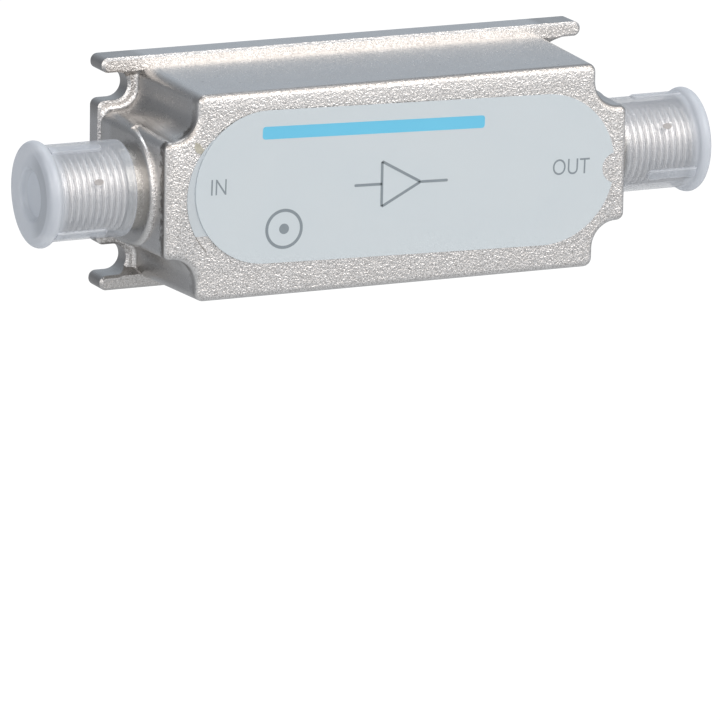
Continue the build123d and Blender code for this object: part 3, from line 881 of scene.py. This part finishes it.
def thicken(thickness):
    """In edit mode, makes a flat drawing a thin print that stands out forwards."""
    select_mesh()
    bpy.ops.mesh.extrude_region_move(TRANSFORM_OT_translate={"value": (0, -thickness, 0)})
    face_outwards()


def draw_plate(name, outline, level, thickness, material):
    """A thin flat print with the given outline, on a surface at the given level."""
    obj = start_from(bpy.ops.mesh.primitive_circle_add, name, vertices=len(outline), fill_type="NGON")
    for vertex, (x, z) in zip(obj.data.vertices, outline):
        vertex.co = (x * MM, level, z * MM)
    with editing(obj):
        thicken(thickness)
    finish_print(obj, material)


def draw_ring(name, outer, inner, level, thickness, material):
    """A round print at the coaxial symbol's middle, hollow if it has an inner radius."""
    x, z = COAX_MIDDLE
    obj = start_from(bpy.ops.mesh.primitive_circle_add, name, (x * MM, level, z * MM), vertices=64,
                     radius=outer * MM, fill_type="NGON", rotation=(math.radians(90), 0, 0))
    settle(obj)
    with editing(obj):
        if inner:
            bpy.ops.mesh.inset(thickness=(outer - inner) * MM)
            bpy.ops.mesh.delete(type="FACE")
        thicken(thickness)
    finish_print(obj, material)


def draw_word(name, text, place, squeeze, level, label, material):
    """A printed word, centred on its place and narrowed by its squeeze."""
    x, z = place
    bpy.ops.object.select_all(action="DESELECT")
    bpy.ops.object.text_add(location=(x * MM, level - label.ink_thickness / 2, z * MM),
                            rotation=(math.radians(90), -label.turn, 0))
    obj = bpy.context.object
    obj.name = name
    obj.scale.x = squeeze
    obj.data.body = text
    obj.data.size = label.letter_height / CAPITAL_SHARE
    obj.data.extrude = label.ink_thickness / 2
    obj.data.offset = -0.015 * MM
    obj.data.space_character = 1.02
    obj.data.align_x, obj.data.align_y = "CENTER", "CENTER"
    bpy.ops.object.convert(target="MESH")
    finish_print(bpy.context.object, material)


class AMPLIFIER_OT_labels(bpy.types.Operator):
    """Finishes the label and draws its stripe, legends and symbols"""
    bl_idname = "amplifier.labels"
    bl_label = "Label and print"

    def execute(self, context):
        label = context.scene.amplifier_label
        paint_nodes(film_material("label film", label.film, (0.66, 0.71, 0.74)), "label")
        paint_nodes(film_material("older film", (0.60, 0.65, 0.69), (0.52, 0.55, 0.57)), "label_backing")
        self.print_label(label)
        self.leave_glue(label)
        return {"FINISHED"}

    def print_label(self, label):
        """Prints the label's stripe, legends and symbols."""
        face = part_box("label")[0].y
        stripe = film_material("stripe ink", label.stripe, (0.18, 0.62, 0.85))
        ink = film_material("legend ink", label.ink, (0.30, 0.34, 0.37))
        for name, (text, place, squeeze) in LEGENDS.items():
            draw_word(name, text, place, squeeze, face, label, ink)
        outline = stroke_outline(*STRIPE, STRIPE_WIDTH, STRIPE_CORNER)
        draw_plate("label_stripe", outline, face, label.ink_thickness, stripe)
        slope = math.tan(label.turn)
        for name, ends in SYMBOL_STROKES.items():
            turned = [(x, z + (x - SYMBOL_MIDDLE) * slope) for x, z in ends]
            outline = stroke_outline(*turned, label.stroke / MM, SYMBOL_CORNER)
            draw_plate(name, outline, face, label.ink_thickness, ink)
        for name, (outer, inner) in COAX_RADII.items():
            draw_ring(name, outer, inner, face, label.ink_thickness, ink)

    def leave_glue(self, label):
        """What the older label left on the casting: the edge of its glue and a smear beside it."""
        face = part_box("label_backing")[1].y
        outer, inner = (arc(GLUE_MIDDLE, radius, *GLUE_ANGLES, 24) for radius in GLUE_RADII)
        edge = outer + inner[::-1]
        draw_plate("glue_edge", edge, face, label.ink_thickness, plain_material("old glue"))
        draw_plate("glue_smear", smear_outline(), face, label.ink_thickness, plain_material("glue smear"))


# Pieces that keep their CAD shapes

class AMPLIFIER_OT_ports(bpy.types.Operator):
    """Dresses the plastic inserts and the contacts in the ports"""
    bl_idname = "amplifier.ports"
    bl_label = "Port inserts"

    def execute(self, context):
        plastic = plain_material("insert plastic")
        bronze = plain_material("tinned bronze")
        for name in ENDS:
            dress(name + "_insulator", plastic)
            dress(name + "_contact", bronze)
        return {"FINISHED"}


class AMPLIFIER_OT_back(bpy.types.Operator):
    """Dresses the rear cover and finishes the pad on its inside"""
    bl_idname = "amplifier.back"
    bl_label = "Rear cover"

    def execute(self, context):
        dress("rear_cover", plain_material("rolled sheet"))
        paint_nodes(plain_material("absorber foam"), "absorber_pad")
        return {"FINISHED"}


BOARD_PARTS = {
    "laminate": ("circuit_board",),
    "zinc plate": ("board_screws",),
    "solder": ("contact_solder",),
    "fired ceramic": ("coupling_capacitors",),
    "pale ceramic": ("bypass_capacitors",),
    "glazed ceramic": ("bias_resistors",),
    "drawn can": ("supply_capacitor",),
    "moulded resin": ("first_stage_chip", "second_stage_chip", "voltage_regulator", "clamp_diode"),
    "ferrite": ("input_choke_core", "output_choke_core"),
}


class AMPLIFIER_OT_circuit(bpy.types.Operator):
    """Gives the circuit board and the parts on it their finishes"""
    bl_idname = "amplifier.circuit"
    bl_label = "Circuit"

    def execute(self, context):
        for name, parts in BOARD_PARTS.items():
            paint_nodes(plain_material(name), *parts)
        coil = wound_material("bare copper", (0.62, 0.26, 0.12), (0.40, 0.15, 0.06), "Z", 0.6)
        winding = wound_material("wound copper", (0.55, 0.18, 0.07), (0.10, 0.03, 0.015), "Y", 0.26)
        paint_nodes(coil, "slope_coil")
        paint_nodes(winding, "input_choke_winding", "output_choke_winding")
        return {"FINISHED"}


# Stage

LAMP_AIM = Vector((0, -0.01, 0))
# Place, size, energy in watts and colour of each lamp
LAMPS = {
    "key_light": ((0.42, -0.82, 0.72), 0.7, 6.0, (1.0, 0.985, 0.965)),
    "side_light": ((-1.0, -0.45, 0.45), 0.7, 1.6, (0.97, 0.985, 1.0)),
    "top_light": ((0.0, 0.2, 1.1), 0.6, 2.5, (0.97, 0.985, 1.0)),
}
WHITE = (1.0, 1.0, 1.0)


def straight_rays(tree):
    """The rays that see the background, and those that see it in a reflection."""
    rays = add(tree, "ShaderNodeLightPath").outputs
    straight = calculate(tree, "MAXIMUM", rays["Is Camera Ray"], rays["Is Transmission Ray"])
    return straight, rays["Is Glossy Ray"]


def floor_material():
    """Pale floor that looks white and keeps the object's shadow."""
    material, tree, shader = new_material("pale floor", roughness=0.8)
    feed(shader, {"Base Color": (0.86, 0.86, 0.86, 1.0)})
    straight, glossy = straight_rays(tree)
    behind = ramp(tree, split(tree, object_place(tree))["Y"], -0.05, 0.20)
    tint = mix_colour(tree, behind, (0.66, 0.68, 0.70), (0.30, 0.315, 0.34))
    glow = add(tree, "ShaderNodeEmission", {"Color": mix_colour(tree, straight, tint, WHITE),
                                           "Strength": 1.1})
    share = times(tree, calculate(tree, "MAXIMUM", straight, glossy), 0.9)
    blend = add(tree, "ShaderNodeMixShader", {0: share, 1: shader.outputs[0], 2: glow.outputs[0]})
    feed(tree.nodes["Material Output"], {"Surface": blend.outputs[0]})
    return material


def white_room():
    """White to look at, plain grey as a light, and a bright panel before a grey room in reflections."""
    world = bpy.data.worlds.new("white room")
    world.use_nodes = True
    tree = world.node_tree
    straight, glossy = straight_rays(tree)
    toward = split(tree, add(tree, "ShaderNodeTexCoord").outputs["Generated"])
    panel = region(tree, toward, Y=(0.15, -0.45), Z=((-0.06, 0.14), (0.97, 0.75)))
    left = region(tree, toward, X=(0.15, -0.45))
    room = mix_colour(tree, left, (0.50, 0.555, 0.62), (0.27, 0.285, 0.31))
    room = mix_colour(tree, panel, room, (1.75, 1.70, 1.66))
    room = mix_colour(tree, glossy, (0.45, 0.45, 0.45), room)
    feed(tree.nodes["Background"], {"Color": mix_colour(tree, straight, room, WHITE)})
    return world


class AMPLIFIER_OT_stage(bpy.types.Operator):
    """Sets the floor, the soft lights, the white surroundings and the camera"""
    bl_idname = "amplifier.stage"
    bl_label = "Stage"

    def execute(self, context):
        stage = context.scene.amplifier_stage
        floor = start_from(bpy.ops.mesh.primitive_plane_add, "floor", (0, 0, stage.floor_level),
                           size=8.0)
        settle(floor)
        paint(floor, floor_material())
        for name, (place, size, energy, colour) in LAMPS.items():
            bpy.ops.object.light_add(type="AREA", location=place)
            lamp = context.object
            lamp.name = name
            lamp.rotation_euler = (LAMP_AIM - Vector(place)).to_track_quat("-Z", "Y").to_euler()
            lamp.data.size, lamp.data.energy, lamp.data.color = size, energy, colour
        context.scene.world = white_room()
        context.scene.camera = self.camera(context, stage)
        context.scene.view_settings.view_transform = "Standard"
        return {"FINISHED"}

    def camera(self, context, stage):
        """A camera at the photograph's view, fitted to the casting's corners."""
        camera = bpy.data.cameras.new("photo camera")
        camera.lens, camera.sensor_width, camera.sensor_fit = stage.lens, 36.0, "HORIZONTAL"
        camera.clip_start, camera.clip_end = 0.05, 20.0
        holder = bpy.data.objects.new("photo_camera", camera)
        context.scene.collection.objects.link(holder)
        sideways = Matrix.Rotation(-stage.azimuth, 4, "Z")
        downwards = Matrix.Rotation(math.pi / 2 - stage.elevation, 4, "X")
        tilt = Matrix.Rotation(stage.roll, 4, "Z")
        holder.matrix_world = Matrix.Translation(stage.camera_place) @ sideways @ downwards @ tilt
        return holder


# Add-on

PIECES = (AMPLIFIER_OT_housing, AMPLIFIER_OT_threads, AMPLIFIER_OT_caps, AMPLIFIER_OT_labels,
          AMPLIFIER_OT_ports, AMPLIFIER_OT_back, AMPLIFIER_OT_circuit, AMPLIFIER_OT_stage)
SETTINGS = {"amplifier_casting": CastingSettings, "amplifier_thread": ThreadSettings,
            "amplifier_cap": CapSettings, "amplifier_label": LabelSettings, "amplifier_stage": StageSettings}


class AMPLIFIER_PT_panel(bpy.types.Panel):
    """Lists the amplifier's pieces and their sizes"""
    bl_idname = "AMPLIFIER_PT_panel"
    bl_label = "Line amplifier"
    bl_space_type = "VIEW_3D"
    bl_region_type = "UI"
    bl_category = "Amplifier"

    def draw(self, context):
        for operator in PIECES:
            self.layout.operator(operator.bl_idname)
        for key, settings in SETTINGS.items():
            box = self.layout.box()
            for name in settings.__annotations__:
                box.prop(getattr(context.scene, key), name)


def register():
    for kind in (*SETTINGS.values(), *PIECES, AMPLIFIER_PT_panel):
        bpy.utils.register_class(kind)
    for key, settings in SETTINGS.items():
        setattr(bpy.types.Scene, key, PointerProperty(type=settings))


def unregister():
    for key in SETTINGS:
        delattr(bpy.types.Scene, key)
    for kind in reversed((*SETTINGS.values(), *PIECES, AMPLIFIER_PT_panel)):
        bpy.utils.unregister_class(kind)


def main():
    register()
    bpy.ops.amplifier.housing()
    bpy.ops.amplifier.threads()
    bpy.ops.amplifier.caps()
    bpy.ops.amplifier.labels()
    bpy.ops.amplifier.ports()
    bpy.ops.amplifier.back()
    bpy.ops.amplifier.circuit()
    bpy.ops.amplifier.stage()


if __name__ == "__main__":
    main()
